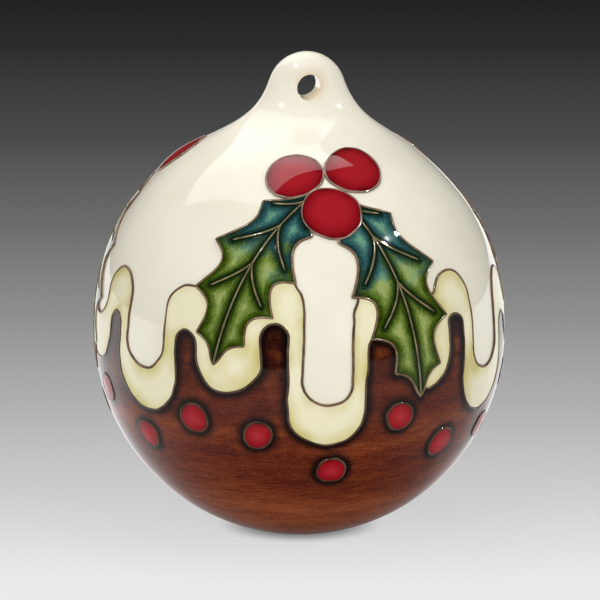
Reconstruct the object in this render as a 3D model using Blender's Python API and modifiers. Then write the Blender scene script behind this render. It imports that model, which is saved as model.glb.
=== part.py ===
"""A pottery bauble painted as a christmas pudding: one solid, a ball that flares up into a hanging loop.

Metres, +Z up, the front towards -Y. The origin is the middle of the flat spot that it stands on. The
picture on it is drawn in raised lines of slip. A spot on the ball is given by its direction from the
ball's centre: an azimuth, 0 at the front and growing towards +X, and a latitude.
"""

import math

import bmesh
import bpy
from mathutils import Vector

# The ball, its neck and the loop: heights are measured from the ball's centre
BALL_RADIUS = 0.0422
FOOT_RADIUS = 0.009  # the flat spot
CENTRE_HEIGHT = math.sqrt(BALL_RADIUS**2 - FOOT_RADIUS**2)
SHOULDER_POWER = 2.23  # above 2, so the upper half is fuller than a sphere
SHOULDER_HEIGHT = 0.0271  # where the ball gives way to the neck's flare
SHOULDER_PULL, NECK_PULL = 0.0207, 0.0128  # how far the flare's curve keeps to the shoulder and to the loop
LOOP_RADIUS = 0.0080  # seen from the front
LOOP_MIDDLE = 0.0499
LOOP_TURN = math.radians(72)  # the loop is round this far down from its top, on each side
LOOP_TOP = LOOP_MIDDLE + LOOP_RADIUS
LOOP_HALF_DEPTH = 0.0041
LOOP_ROUNDING = 0.0036  # the height over which the loop's depth rounds off at the top
LOOP_APEX = 0.001  # within this half width of its top the loop is as deep as it is wide
SQUEEZE_FROM, SQUEEZE_TO = 0.0370, 0.0475  # between these heights the round neck flattens to the loop
LEAN = 0.00145  # the loop stands this far to +X of the ball's axis
LEAN_FROM, LEAN_TO = 0.0336, 0.0490  # the heights between which the neck leans over
COLUMNS = 32
FLARE_HALVINGS = 20  # how often the search for a height on the flare halves its range

# The hole for a ribbon, through the loop along Y
HOLE_HEIGHT = 0.0509
HOLE_HALF_WIDTH = 0.0028
HOLE_HALF_HEIGHT = 0.0032
THROAT_HALF_LENGTH = 0.0029
HOLE_RIM = 0.0011  # radius of its rounded rims

# The raised lines and dots
LINE_RADIUS = 0.0005
LINE_SINK = 0.00015  # how far a line's middle lies below the surface
CLIP_STEPS = 5  # how finely a stretch of line is tried against the leaves that may cover it
DOT_RISE = 0.00035
NORMAL_REACH = 0.0005  # how far off the surface is felt to find its normal

# Drips of the white sauce, round from the front: width, gap before the next, the drip's low end and the
# top of the gap. They are lengths on the ball, the last two measured up from its equator.
DRIPS = (
    (0.0100, 0.0115, -0.0075, 0.0155),
    (0.0085, 0.0105, 0.0030, 0.0175),
    (0.0110, 0.0110, -0.0040, 0.0145),
    (0.0090, 0.0120, 0.0060, 0.0190),
    (0.0105, 0.0105, -0.0060, 0.0160),
    (0.0080, 0.0110, 0.0010, 0.0175),
    (0.0100, 0.0115, 0.0050, 0.0185),
    (0.0110, 0.0110, -0.0070, 0.0150),
    (0.0085, 0.0105, 0.0020, 0.0170),
    (0.0105, 0.0120, -0.0045, 0.0180),
    (0.0090, 0.0105, 0.0055, 0.0165),
    (0.0110, 0.0110, -0.0020, 0.0155),
    (0.0085, 0.0115, 0.0035, 0.0180),
)
CREAM_MARGIN = 0.0030  # the cream layer shows this wide beside a white drip
CREAM_DROP = 0.0088  # and this far below it
ARC_STEPS = 4  # corners of a drip's round end

# Three sprigs of holly, each a pair of leaves with three berries where they meet
SPRIG_COUNT = 3
SPRIG_AZIMUTH = math.radians(3)
SPRIG_LATITUDE = math.radians(51)
LEAVES = (  # bearing from straight down, length, half width, bend
    (math.radians(-54), 0.0400, 0.0100, math.radians(26)),
    (math.radians(37), 0.0440, 0.0108, math.radians(-22)),
)
LEAF_START = 0.0035  # from the sprig's middle to the leaf's base
SPINES = 4  # on each side of a leaf, besides its tip
SPINE_START, SPINE_SPREAD = 0.55, 0.35  # the first spine's place and the room past the last, in spine gaps
LEAF_SKEW, LEAF_FULLNESS = 0.85, 0.7  # below 1: widest nearer the base, and a rounder outline
SPINE_LEAN = 0.30
SCOOP = 0.36  # how deep the margin curves in between two spines
LEAF_STEPS = 3  # corners of the outline from one spine to the next
BERRY_RADIUS = 0.0056
BERRY_SPOTS = ((-0.0055, 0.0030), (0.0056, 0.0042), (0.0004, -0.0056))
BERRY_RISE = 0.0006
BERRY_SIDES = 10

# Currants in the brown body: azimuth in degrees, latitude in degrees
CURRANT_RADIUS = 0.0033
CURRANT_SIDES = 8
CURRANTS = (
    (2, -31), (21, -15), (40, -25), (63, -24), (81, -12), (97, -22), (119, -30), (139, -18), (157, -11),
    (173, -24), (197, -32), (212, -19), (230, -16), (247, -27), (263, -20), (281, -13), (301, -23),
    (321, -15), (340, -19)
)


def direction(azimuth, latitude):
    """The unit vector of a spot on the ball."""
    flat = math.cos(latitude)
    return Vector((flat * math.sin(azimuth), -flat * math.cos(azimuth), math.sin(latitude)))


def tangents(spot):
    """The directions towards +X's side and upwards along the ball, at a spot."""
    east = Vector((0, 0, 1)).cross(spot).normalized()
    return east, spot.cross(east)


def spot_beside(spot, right, up):
    """The spot reached from another by going that far over the ball, right and up."""
    east, north = tangents(spot)
    distance = math.hypot(right, up)
    if distance == 0:
        return spot
    angle = distance / BALL_RADIUS
    return spot * math.cos(angle) + (east * right + north * up) * (math.sin(angle) / distance)


def offset_between(spot, other):
    """How far right and up the other spot lies from this one, over the ball."""
    east, north = tangents(spot)
    distance = BALL_RADIUS * spot.angle(other)
    sideways = Vector((other.dot(east), other.dot(north)))
    if sideways.length == 0:
        return sideways
    return sideways * (distance / sideways.length)


def flare_knots():
    """Radius and height of the flare's ends and of the handles between, from the shoulder to the loop."""
    share = (SHOULDER_HEIGHT / BALL_RADIUS) ** SHOULDER_POWER
    shoulder = Vector((BALL_RADIUS * (1 - share) ** (1 / SHOULDER_POWER), SHOULDER_HEIGHT))
    inward = Vector((-((shoulder.y / shoulder.x) ** (SHOULDER_POWER - 1)), 1)).normalized()
    loop_side = Vector((math.sin(LOOP_TURN), math.cos(LOOP_TURN)))
    neck = Vector((0, LOOP_MIDDLE)) + loop_side * LOOP_RADIUS
    downward = Vector((loop_side.y, -loop_side.x))
    return shoulder, shoulder + inward * SHOULDER_PULL, neck + downward * NECK_PULL, neck


def flare_point(knots, share):
    """Radius and height on the curve from the shoulder up to the loop."""
    weights = [math.comb(3, n) * share**n * (1 - share) ** (3 - n) for n in range(4)]
    return sum((knot * weight for knot, weight in zip(knots, weights)), Vector((0, 0)))


def body_reach(spot):
    """From the ball's centre to the surface: a sphere below, fuller shoulders above, and then the flare."""
    if spot.z <= 0:
        return BALL_RADIUS
    across = math.hypot(spot.x, spot.y)
    knots = flare_knots()
    if spot.z / across <= knots[0].y / knots[0].x:
        return BALL_RADIUS / (across**SHOULDER_POWER + spot.z**SHOULDER_POWER) ** (1 / SHOULDER_POWER)
    low, high = 0.0, 1.0
    for _ in range(FLARE_HALVINGS):
        share = (low + high) / 2
        radius, height = flare_point(knots, share)
        low, high = (share, high) if height / radius < spot.z / across else (low, share)
    return math.hypot(radius, height)


def on_body(spot):
    """The point of the surface in a spot's direction."""
    return shaped(spot * body_reach(spot))


def shaped(point):
    """A point of the turned shape, measured from the ball's centre, as it lies on the finished body."""
    rise = eased(point.z, LEAN_FROM, LEAN_TO)
    return Vector((point.x + LEAN * rise, point.y * depth_share(point.z), point.z + CENTRE_HEIGHT))


def outward(spot):
    """The surface's outward normal at a spot."""
    across = on_body(spot_beside(spot, NORMAL_REACH, 0)) - on_body(spot_beside(spot, -NORMAL_REACH, 0))
    upward = on_body(spot_beside(spot, 0, NORMAL_REACH)) - on_body(spot_beside(spot, 0, -NORMAL_REACH))
    return across.cross(upward).normalized()


def front_outline():
    """Half of the front view, from the loop's top down to the foot: radius and height."""
    loop_rows, flare_rows, upper_rows, lower_rows = 6, 7, 6, 10
    outline = []
    for row in range(loop_rows):
        angle = LOOP_TURN * row / loop_rows
        outline.append((LOOP_RADIUS * math.sin(angle), LOOP_MIDDLE + LOOP_RADIUS * math.cos(angle)))
    knots = flare_knots()
    outline += [flare_point(knots, 1 - row / flare_rows) for row in range(flare_rows + 1)]
    shoulder_angle = math.atan2(knots[0].y, knots[0].x)
    for row in range(1, upper_rows + 1):
        spot = direction(0, shoulder_angle * (1 - row / upper_rows))
        reach = body_reach(spot)
        outline.append((-spot.y * reach, spot.z * reach))
    foot_angle = math.acos(FOOT_RADIUS / BALL_RADIUS)
    for row in range(1, lower_rows + 1):
        angle = foot_angle * row / lower_rows
        outline.append((BALL_RADIUS * math.cos(angle), -BALL_RADIUS * math.sin(angle)))
    outline.append((0, -CENTRE_HEIGHT))
    return outline


def eased(height, low, high):
    """0 up to the low height, 1 from the high one, and a smooth rise between."""
    share = min(max((height - low) / (high - low), 0), 1)
    return share * share * (3 - 2 * share)


def depth_share(height):
    """The body's depth as a share of its width: 1 on the ball, less on the neck and the loop."""
    if height <= LOOP_MIDDLE:
        return 1 + (LOOP_HALF_DEPTH / LOOP_RADIUS - 1) * eased(height, SQUEEZE_FROM, SQUEEZE_TO)
    half_width = math.sqrt(max(LOOP_RADIUS**2 - (height - LOOP_MIDDLE) ** 2, 0))
    into_rounding = max(height - (LOOP_TOP - LOOP_ROUNDING), 0) / LOOP_ROUNDING
    half_depth = LOOP_HALF_DEPTH * math.sqrt(max(1 - into_rounding**2, 0))
    return half_depth / half_width if half_width > LOOP_APEX else 1


def material(name, colour, roughness):
    """A plain Principled material."""
    made = bpy.data.materials.new(name)
    made.use_nodes = True
    shader = made.node_tree.nodes["Principled BSDF"]
    shader.inputs["Base Color"].default_value = (*colour, 1)
    shader.inputs["Roughness"].default_value = roughness
    shader.inputs["Metallic"].default_value = 0
    return made


def turned(name, outline, columns, collection):
    """An outline of radius and height, top to bottom, turned round Z and made a mesh."""
    mesh = bpy.data.meshes.new(name + "_outline")
    steps = [(n, n + 1) for n in range(len(outline) - 1)]
    mesh.from_pydata([(radius, 0, height) for radius, height in outline], steps, [])
    half = bpy.data.objects.new(name + "_outline", mesh)
    collection.objects.link(half)
    screw = half.modifiers.new("turn", "SCREW")
    screw.steps = screw.render_steps = columns
    screw.use_merge_vertices = True
    screw.merge_threshold = 0.00001
    solid = bpy.data.objects.new(name, evaluated_mesh(half))
    collection.objects.link(solid)
    bpy.data.objects.remove(half)
    return solid


def evaluated_mesh(thing):
    """The mesh of an object as its modifiers or its bevel leave it."""
    graph = bpy.context.evaluated_depsgraph_get()
    return bpy.data.meshes.new_from_object(thing.evaluated_get(graph), depsgraph=graph)


def slip_line(name, spots, closed, collection):
    """A raised line through spots: a thin tube, half sunk in the surface."""
    curve = bpy.data.curves.new(name + "_path", "CURVE")
    curve.dimensions = "3D"
    curve.bevel_depth = LINE_RADIUS
    curve.bevel_resolution = 0
    curve.use_fill_caps = True
    spline = curve.splines.new("POLY")
    spline.points.add(len(spots) - 1)
    for knot, spot in zip(spline.points, spots):
        knot.co = (*on_body(spot) - outward(spot) * LINE_SINK, 1)
    spline.use_cyclic_u = closed
    path = bpy.data.objects.new(name + "_path", curve)
    collection.objects.link(path)
    mesh = evaluated_mesh(path)
    welded = bmesh.new()
    welded.from_mesh(mesh)
    bmesh.ops.remove_doubles(welded, verts=welded.verts, dist=0.000001)
    welded.to_mesh(mesh)
    welded.free()
    line = bpy.data.objects.new(name, mesh)
    line.matrix_world = path.matrix_world
    collection.objects.link(line)
    bpy.data.objects.remove(path)
    return line


def drip_edge(margin, drop):
    """The lower edge of a layer of sauce: straight-sided drips with round ends, and round arches between.

    It runs once round the ball, as spots."""
    around = sum(width + gap for width, gap, _, _ in DRIPS)
    edge = []
    start = -DRIPS[0][0] / 2
    for width, gap, low, top in DRIPS:
        for middle, radius, height, turn in (
            (start + width / 2, width / 2 + margin, low - drop + width / 2 + margin, -1),
            (start + width + gap / 2, gap / 2 - margin, top - drop - gap / 2 + margin, 1),
        ):
            for step in range(ARC_STEPS + 1):
                angle = math.pi * step / ARC_STEPS
                along = middle - radius * math.cos(angle)
                up = height + turn * radius * math.sin(angle)
                edge.append(direction(math.tau * along / around, up / BALL_RADIUS))
        start += width + gap
    return edge


def spine_places():
    """Where a leaf's base, its spines and its tip stand along it."""
    return [0, *((n + SPINE_START) / (SPINES + SPINE_SPREAD) for n in range(SPINES)), 1]


def leaf_half_width(share):
    """A leaf's half width, as a share of its largest, along its length: spines, and scoops between them."""
    places = spine_places()
    widths = [0, *(math.sin(math.pi * place**LEAF_SKEW) ** LEAF_FULLNESS for place in places[1:-1]), 0]
    section = min(sum(share >= place for place in places), len(places) - 1)
    low, high = places[section - 1], places[section]
    part = (share - low) / (high - low)
    straight = widths[section - 1] * (1 - part) + widths[section] * part
    return straight * (1 - SCOOP * math.sin(math.pi * part))


def leaf_spot(middle, leaf, along, across):
    """The spot of a point of a leaf: along its bent midrib from the base, and across it."""
    bearing, length, _, bend = leaf
    turned_by = bend * along / length
    radius = length / bend
    right = LEAF_START * math.sin(bearing)
    up = -LEAF_START * math.cos(bearing)
    forward = (radius - across) * math.sin(turned_by)
    sideways = radius * (1 - math.cos(turned_by)) + across * math.cos(turned_by)
    right += forward * math.sin(bearing) + sideways * math.cos(bearing)
    up += -forward * math.cos(bearing) + sideways * math.sin(bearing)
    return spot_beside(middle, right, up)


def leaf_margin(middle, leaf):
    """The outline of a leaf as spots, out along one side and back along the other."""
    _, length, half_width, _ = leaf
    places = spine_places()
    shares = []
    for low, high in zip(places, places[1:]):
        shares += [low + (high - low) * step / LEAF_STEPS for step in range(LEAF_STEPS)]
    outline = []
    for side, run in ((1, shares), (-1, [1, *reversed(shares[1:])])):
        for share in run:
            across = half_width * leaf_half_width(share) if share < 1 else 0
            outline.append(leaf_spot(middle, leaf, length * share + SPINE_LEAN * across, side * across))
    return outline


def inside(spot, middle, outline):
    """Whether a spot lies inside a closed outline of spots round some middle."""
    if spot.dot(middle) < 0:
        return False
    x, y = offset_between(middle, spot)
    crossings = 0
    flat = [offset_between(middle, other) for other in outline]
    for (x1, y1), (x2, y2) in zip(flat, flat[1:] + flat[:1]):
        if (y1 > y) != (y2 > y) and x < x1 + (y - y1) * (x2 - x1) / (y2 - y1):
            crossings += 1
    return crossings % 2 == 1


def sprig_middles():
    """The spot of each sprig's middle."""
    return [direction(SPRIG_AZIMUTH + math.tau * n / SPRIG_COUNT, SPRIG_LATITUDE) for n in range(SPRIG_COUNT)]


def uncovered_runs(edge, covers):
    """The stretches of a closed line of spots that no leaf covers: each is a list, and whether it closes."""
    fine = []
    for start, end in zip(edge, edge[1:] + edge[:1]):
        fine += [(start.lerp(end, step / CLIP_STEPS).normalized(), step == 0) for step in range(CLIP_STEPS)]
    shown = [not any(inside(spot, middle, outline) for middle, outline in covers) for spot, _ in fine]
    if all(shown):
        return [(edge, True)]
    first = next(n for n in range(len(fine)) if shown[n] and not shown[n - 1])
    runs = []
    for n in range(first, first + len(fine)):
        spot, is_corner = fine[n % len(fine)]
        before, here = shown[(n - 1) % len(fine)], shown[n % len(fine)]
        if here and not before:
            runs.append([fine[(n - 1) % len(fine)][0]])
        if here and is_corner or before and not here:
            runs[-1].append(spot)
    return [(run, False) for run in runs]


def dot(name, spot, radius, rise, sides, collection):
    """A low round dome on the surface."""
    bpy.ops.mesh.primitive_uv_sphere_add(segments=sides, ring_count=3, radius=radius)
    made = bpy.context.active_object
    made.name = name
    sink = BALL_RADIUS - math.sqrt(BALL_RADIUS**2 - radius**2) + LINE_SINK
    made.scale = (1, 1, (rise + sink) / radius)
    made.location = on_body(spot) - outward(spot) * sink
    made.rotation_euler = outward(spot).to_track_quat("Z", "Y").to_euler()
    for owner in made.users_collection:
        owner.objects.unlink(made)
    collection.objects.link(made)


def draw_picture(collection):
    """The sauce edges, the holly, the berries and the currants, as raised slip."""
    middles = sprig_middles()
    covers = []
    for number, middle in enumerate(middles):
        for side, leaf in zip("ab", LEAVES):
            outline = leaf_margin(middle, leaf)
            covers.append((middle, outline))
            slip_line(f"leaf_{number}{side}", outline, True, collection)
        for berry, (right, up) in enumerate(BERRY_SPOTS):
            spot = spot_beside(middle, right, up)
            dot(f"berry_{number}{berry}", spot, BERRY_RADIUS, BERRY_RISE, BERRY_SIDES, collection)
    for name, margin, drop in (("white", 0, 0), ("cream", CREAM_MARGIN, CREAM_DROP)):
        for number, (run, closed) in enumerate(uncovered_runs(drip_edge(margin, drop), covers)):
            slip_line(f"{name}_edge_{number}", run, closed, collection)
    for number, (azimuth, latitude) in enumerate(CURRANTS):
        spot = direction(math.radians(azimuth), math.radians(latitude))
        dot(f"currant_{number}", spot, CURRANT_RADIUS, DOT_RISE, CURRANT_SIDES, collection)


def ribbon_hole(collection):
    """The cutter of the hole: a turned throat that opens to rounded rims, laid along Y."""
    rim_share = HOLE_RIM / HOLE_HALF_WIDTH
    quarter = [math.pi / 2 * n / 3 for n in range(4)]
    flare = [
        (1 + rim_share * (1 - math.cos(angle)), THROAT_HALF_LENGTH + HOLE_RIM * math.sin(angle))
        for angle in quarter
    ]
    far = LOOP_HALF_DEPTH * 2
    half = [(0, far), (1 + rim_share, far), *reversed(flare)]
    outline = half + [(radius, -height) for radius, height in reversed(half)]
    cutter = turned("ribbon_hole", outline, 24, collection)
    cutter.scale = (HOLE_HALF_WIDTH, HOLE_HALF_HEIGHT, 1)
    cutter.rotation_euler = (math.pi / 2, 0, 0)
    cutter.location = (LEAN, 0, CENTRE_HEIGHT + HOLE_HEIGHT)
    return cutter


def keep_outer_skin(thing):
    """Apply an object's modifiers and drop any tiny pocket shut in where raised lines cross."""
    mesh = evaluated_mesh(thing)
    thing.modifiers.clear()
    thing.data = mesh
    skin = bmesh.new()
    skin.from_mesh(mesh)
    frontier = [max(skin.verts, key=lambda vertex: vertex.co.z)]
    reached = set(frontier)
    while frontier:
        found = {edge.other_vert(vertex) for vertex in frontier for edge in vertex.link_edges} - reached
        reached |= found
        frontier = list(found)
    pockets = [vertex for vertex in skin.verts if vertex not in reached]
    bmesh.ops.delete(skin, geom=pockets, context="VERTS")
    skin.to_mesh(mesh)
    skin.free()


def main():
    for thing in list(bpy.data.objects):
        bpy.data.objects.remove(thing)
    part = bpy.data.collections.new("pudding_bauble")
    cutters = bpy.data.collections.new("cutters")
    slip = bpy.data.collections.new("slip")
    for collection in (part, cutters, slip):
        bpy.context.scene.collection.children.link(collection)

    bauble = turned("pudding_bauble", front_outline(), COLUMNS, part)
    for vertex in bauble.data.vertices:
        vertex.co = shaped(vertex.co)
    bauble.data.materials.append(material("glazed_pottery", (0.36, 0.09, 0.04), 0.08))

    draw_picture(slip)
    raised = bauble.modifiers.new("raised_slip", "BOOLEAN")
    raised.operation = "UNION"
    raised.operand_type = "COLLECTION"
    raised.collection = slip
    raised.use_self = True

    hole = bauble.modifiers.new("ribbon_hole", "BOOLEAN")
    hole.operation = "DIFFERENCE"
    hole.object = ribbon_hole(cutters)

    keep_outer_skin(bauble)
    for guide in (*slip.objects, *cutters.objects):
        guide.hide_render = True
        guide.display_type = "WIRE"
    bauble.data.shade_smooth()
    bauble.data.set_sharp_from_angle(angle=math.radians(35))


main()
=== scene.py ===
import math

import bpy
import numpy as np
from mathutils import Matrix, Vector, geometry, kdtree, noise


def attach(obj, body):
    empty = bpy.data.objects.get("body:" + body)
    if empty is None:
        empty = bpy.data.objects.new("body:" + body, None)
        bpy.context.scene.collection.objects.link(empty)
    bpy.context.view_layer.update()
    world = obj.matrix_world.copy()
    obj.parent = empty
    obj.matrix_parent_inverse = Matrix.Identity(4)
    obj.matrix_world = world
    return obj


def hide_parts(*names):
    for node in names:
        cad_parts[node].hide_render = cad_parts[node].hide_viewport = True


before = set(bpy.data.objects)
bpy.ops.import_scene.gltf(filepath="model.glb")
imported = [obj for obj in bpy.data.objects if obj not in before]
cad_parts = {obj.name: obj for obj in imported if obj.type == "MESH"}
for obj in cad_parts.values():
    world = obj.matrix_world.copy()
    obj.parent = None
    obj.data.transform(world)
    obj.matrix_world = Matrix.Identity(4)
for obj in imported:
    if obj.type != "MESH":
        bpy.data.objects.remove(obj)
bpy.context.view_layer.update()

# ---- The cast body ---------------------------------------------------------------------------------
# A slip-cast ball of white earthenware whose neck flares up into a flattened hanging loop, pierced for a
# ribbon while the clay was soft. It has an ivory glaze all over, which stays bare on the neck and is also
# the white of the sauce. It is modelled as a half outline spun round, flattened row by row at the loop.
BALL_RADIUS = 0.0422
FOOT_RADIUS = 0.009  # the flat spot that it stands on
CENTRE_HEIGHT = math.sqrt(BALL_RADIUS**2 - FOOT_RADIUS**2)
SHOULDER_POWER = 2.23  # above 2, so the upper half is fuller than a sphere
SHOULDER_HEIGHT = 0.0271  # heights are measured from the ball's centre
SHOULDER_PULL, NECK_PULL = 0.0207, 0.0128
LOOP_RADIUS = 0.0080
LOOP_MIDDLE = 0.0499
LOOP_TURN = math.radians(72)
LOOP_HALF_DEPTH = 0.0041
LOOP_ROUNDING = 0.0036
SQUEEZE_FROM, SQUEEZE_TO = 0.0370, 0.0475
LEAN = 0.00145  # the loop stands this far to +X of the ball's axis
LEAN_FROM, LEAN_TO = 0.0336, 0.0490
FLARE_HALVINGS = 20
NORMAL_REACH = 0.0005
BODY_COLUMNS = 72
HOLE_HEIGHT = 0.0509
HOLE_HALF_WIDTH = 0.0023
HOLE_HALF_HEIGHT = 0.0026
THROAT_HALF_LENGTH = 0.0030
HOLE_RIM = 0.0010
RIM_SUNK = 0.00005  # the rounding ends this far above the face, so that it meets it at a slight angle
HOLE_TILT = math.radians(25)  # the tall side of the hole leans to the right


def direction(azimuth, latitude):
    """The unit vector of a spot on the ball: azimuth 0 is the front, and it grows towards +X."""
    flat = math.cos(latitude)
    return Vector((flat * math.sin(azimuth), -flat * math.cos(azimuth), math.sin(latitude)))


def tangents(spot):
    """The directions to the right and upwards along the ball, at a spot."""
    east = Vector((0, 0, 1)).cross(spot).normalized()
    return east, spot.cross(east)


def spot_beside(spot, right, up):
    """The spot reached from another by going that far over the ball."""
    distance = math.hypot(right, up)
    if distance == 0:
        return spot
    east, north = tangents(spot)
    angle = distance / BALL_RADIUS
    return spot * math.cos(angle) + (east * right + north * up) * (math.sin(angle) / distance)


def flare_knots():
    """Radius and height of the flare's ends and of the handles between, from the shoulder to the loop."""
    share = (SHOULDER_HEIGHT / BALL_RADIUS) ** SHOULDER_POWER
    shoulder = Vector((BALL_RADIUS * (1 - share) ** (1 / SHOULDER_POWER), SHOULDER_HEIGHT))
    inward = Vector((-((shoulder.y / shoulder.x) ** (SHOULDER_POWER - 1)), 1)).normalized()
    loop_side = Vector((math.sin(LOOP_TURN), math.cos(LOOP_TURN)))
    neck = Vector((0, LOOP_MIDDLE)) + loop_side * LOOP_RADIUS
    downward = Vector((loop_side.y, -loop_side.x))
    return shoulder, shoulder + inward * SHOULDER_PULL, neck + downward * NECK_PULL, neck


def flare_point(share):
    """Radius and height on the curve from the shoulder up to the loop."""
    weights = [math.comb(3, n) * share**n * (1 - share) ** (3 - n) for n in range(4)]
    return sum((knot * weight for knot, weight in zip(FLARE, weights)), Vector((0, 0)))


def eased(height, low, high):
    """0 up to the low height, 1 from the high one, and a smooth rise between."""
    share = min(max((height - low) / (high - low), 0), 1)
    return share * share * (3 - 2 * share)


def depth_share(height):
    """The body's depth as a share of its width: 1 on the ball, less on the neck and the loop."""
    if height <= LOOP_MIDDLE:
        return 1 + (LOOP_HALF_DEPTH / LOOP_RADIUS - 1) * eased(height, SQUEEZE_FROM, SQUEEZE_TO)
    half_width = math.sqrt(max(LOOP_RADIUS**2 - (height - LOOP_MIDDLE) ** 2, 0))
    into_rounding = max(height - (LOOP_MIDDLE + LOOP_RADIUS - LOOP_ROUNDING), 0) / LOOP_ROUNDING
    half_depth = LOOP_HALF_DEPTH * math.sqrt(max(1 - into_rounding**2, 0))
    return half_depth / half_width if half_width > 0 else 1


def on_body(spot):
    """The point of the surface in a spot's direction: a sphere below, fuller shoulders, and the flare."""
    reach = BALL_RADIUS
    if spot.z > 0:
        across = math.hypot(spot.x, spot.y)
        if spot.z / across <= FLARE[0].y / FLARE[0].x:
            reach /= (across**SHOULDER_POWER + spot.z**SHOULDER_POWER) ** (1 / SHOULDER_POWER)
        else:
            low, high = 0.0, 1.0
            for _ in range(FLARE_HALVINGS):
                share = (low + high) / 2
                radius, height = flare_point(share)
                low, high = (share, high) if height / radius < spot.z / across else (low, share)
            reach = math.hypot(radius, height)
    x, y, height = spot * reach
    return Vector((
        x + LEAN * eased(height, LEAN_FROM, LEAN_TO), y * depth_share(height), height + CENTRE_HEIGHT
    ))


def lifted(spot, lift):
    """The point that far above the surface at a spot."""
    across = on_body(spot_beside(spot, NORMAL_REACH, 0)) - on_body(spot_beside(spot, -NORMAL_REACH, 0))
    upward = on_body(spot_beside(spot, 0, NORMAL_REACH)) - on_body(spot_beside(spot, 0, -NORMAL_REACH))
    return on_body(spot) + across.cross(upward).normalized() * lift


def body_outline():
    """Half of the front view from the loop's top down to the foot's middle: radius and height."""
    outline = []
    for row in range(12):
        angle = LOOP_TURN * row / 12
        outline.append((LOOP_RADIUS * math.sin(angle), LOOP_MIDDLE + LOOP_RADIUS * math.cos(angle)))
    outline += [flare_point(1 - row / 18) for row in range(19)]
    shoulder_angle = math.atan2(FLARE[0].y, FLARE[0].x)
    for row in range(1, 11):
        spot = direction(0, shoulder_angle * (1 - row / 10))
        point = on_body(spot)
        outline.append((-point.y, point.z - CENTRE_HEIGHT))
    foot_angle = math.acos(FOOT_RADIUS / BALL_RADIUS)
    for row in range(1, 21):
        angle = foot_angle * row / 20
        outline.append((BALL_RADIUS * math.cos(angle), -BALL_RADIUS * math.sin(angle)))
    outline += [(FOOT_RADIUS * 0.97, -CENTRE_HEIGHT), (FOOT_RADIUS * 0.5, -CENTRE_HEIGHT), (0, -CENTRE_HEIGHT)]
    return [(radius, height + CENTRE_HEIGHT) for radius, height in outline]


def turned(name, outline, steps):
    """A closed shape: a half outline of radius and height, drawn point by point and spun round Z."""
    bpy.ops.object.select_all(action="DESELECT")
    bpy.ops.mesh.primitive_plane_add(size=0.001)
    made = bpy.context.active_object
    made.name = made.data.name = name
    bpy.ops.object.mode_set(mode="EDIT")
    bpy.ops.mesh.merge(type="CENTER")
    bpy.ops.transform.translate(value=(outline[0][0], 0, outline[0][1]))
    for (radius, height), (next_radius, next_height) in zip(outline, outline[1:]):
        step = (next_radius - radius, 0, next_height - height)
        bpy.ops.mesh.extrude_region_move(TRANSFORM_OT_translate={"value": step})
    bpy.ops.mesh.select_all(action="SELECT")
    bpy.ops.mesh.spin(steps=steps, angle=math.tau, center=(0, 0, 0), axis=(0, 0, 1))
    bpy.ops.mesh.select_all(action="SELECT")
    bpy.ops.mesh.remove_doubles(threshold=0.000001)
    bpy.ops.mesh.normals_make_consistent(inside=False)
    bpy.ops.object.mode_set(mode="OBJECT")
    return made


def apply_modifier(thing, kind, **settings):
    """Adds a modifier to a piece and applies it."""
    bpy.ops.object.select_all(action="DESELECT")
    thing.select_set(True)
    bpy.context.view_layer.objects.active = thing
    modifier = thing.modifiers.new(kind.lower(), kind)
    for setting, value in settings.items():
        setattr(modifier, setting, value)
    bpy.ops.object.modifier_apply(modifier=modifier.name)


def smooth(thing, degrees=40):
    """Shades a piece smoothly, but keeps its sharp edges."""
    bpy.ops.object.select_all(action="DESELECT")
    thing.select_set(True)
    bpy.context.view_layer.objects.active = thing
    bpy.ops.object.shade_smooth_by_angle(angle=math.radians(degrees))


def srgb(colour):
    """An sRGB hex colour as linear RGBA."""
    channels = [int(colour[n : n + 2], 16) / 255 for n in (1, 3, 5)]
    return (*(c / 12.92 if c <= 0.04045 else ((c + 0.055) / 1.055) ** 2.4 for c in channels), 1)


def add(tree, kind, inputs=None, stops=None, **settings):
    """Adds a node: its settings, a ramp's stops, and for its sockets a value or another node's output."""
    node = tree.nodes.new("ShaderNode" + kind)
    for name, value in settings.items():
        setattr(node, name, value)
    for socket, value in (inputs or {}).items():
        if isinstance(value, bpy.types.NodeSocket):
            tree.links.new(value, node.inputs[socket])
        else:
            node.inputs[socket].default_value = value
    for number, (place, colour) in enumerate(stops or ()):
        knots = node.color_ramp.elements
        knot = knots[number] if number < 2 else knots.new(place)
        knot.position, knot.color = place, colour
    return node


def under_clear_glaze(name, ripple=0.00004):
    """A material under the clear, glossy glaze of the kiln: its tree, its shader, and Object coordinates.

    The glaze's surface is as smooth as glass, apart from slow ripples some 5 mm long where it ran."""
    made = bpy.data.materials.new(name)
    made.use_nodes = True
    tree = made.node_tree
    shader = tree.nodes["Principled BSDF"]
    shader.inputs["IOR"].default_value = 1.52
    shader.inputs["Roughness"].default_value = 0.035
    place = add(tree, "TexCoord").outputs["Object"]
    ripples = add(tree, "TexNoise", {"Vector": place, "Scale": 200, "Detail": 1.5})
    bump = add(tree, "Bump", {"Height": ripples.outputs["Fac"], "Distance": ripple, "Strength": 1.0})
    tree.links.new(bump.outputs["Normal"], shader.inputs["Normal"])
    return made, tree, shader, place


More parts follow.
